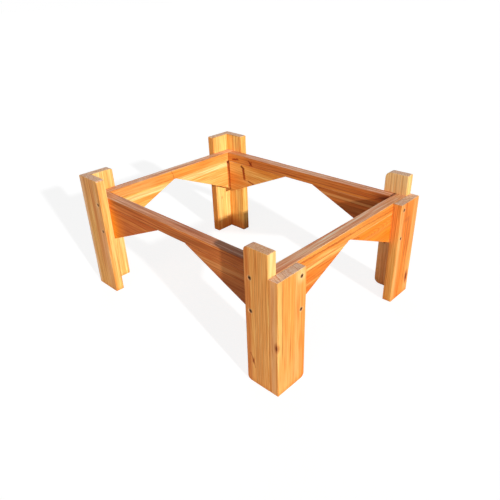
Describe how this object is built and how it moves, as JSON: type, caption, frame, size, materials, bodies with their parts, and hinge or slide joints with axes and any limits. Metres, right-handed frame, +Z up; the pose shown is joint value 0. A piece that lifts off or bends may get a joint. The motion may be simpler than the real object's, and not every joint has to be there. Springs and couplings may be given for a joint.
{
  "type": "hive stand",
  "caption": "Low wooden beehive stand: L-shaped legs of screwed boards, rails with triangular braces, and tall leg boards that hold the hive on three sides.",
  "frame": {"origin": "on the floor, below the centre of the stand's bounding box", "axes": "+Z up, +Y from the low front side to the back, +X to the right"},
  "size_m": [0.46, 0.585, 0.28],
  "materials": {
    "leg_wood": "oiled planed softwood with strong lengthwise grain, satin",
    "rail_wood": "oiled planed softwood, satin, a little redder",
    "brace_wood": "oiled planed softwood, satin, a little paler",
    "screw_steel": "zinc-plated, dulled"
  },
  "bodies": {
    "root": {"front_left_leg_side_board": "leg_wood", "front_left_leg_end_board": "leg_wood", "front_right_leg_side_board": "leg_wood", "front_right_leg_end_board": "leg_wood", "back_left_leg_side_board": "leg_wood", "back_left_leg_end_board": "leg_wood", "back_right_leg_side_board": "leg_wood", "back_right_leg_end_board": "leg_wood", "front_rail": "rail_wood", "back_rail": "rail_wood", "left_rail": "rail_wood", "right_rail": "rail_wood", "front_rail_left_brace": "brace_wood", "front_rail_right_brace": "brace_wood", "back_rail_left_brace": "brace_wood", "back_rail_right_brace": "brace_wood", "left_rail_front_brace": "brace_wood", "left_rail_back_brace": "brace_wood", "right_rail_front_brace": "brace_wood", "right_rail_back_brace": "brace_wood", "front_left_leg_screws": "screw_steel", "front_right_leg_screws": "screw_steel", "back_left_leg_screws": "screw_steel", "back_right_leg_screws": "screw_steel"}
  },
  "joints": []
}
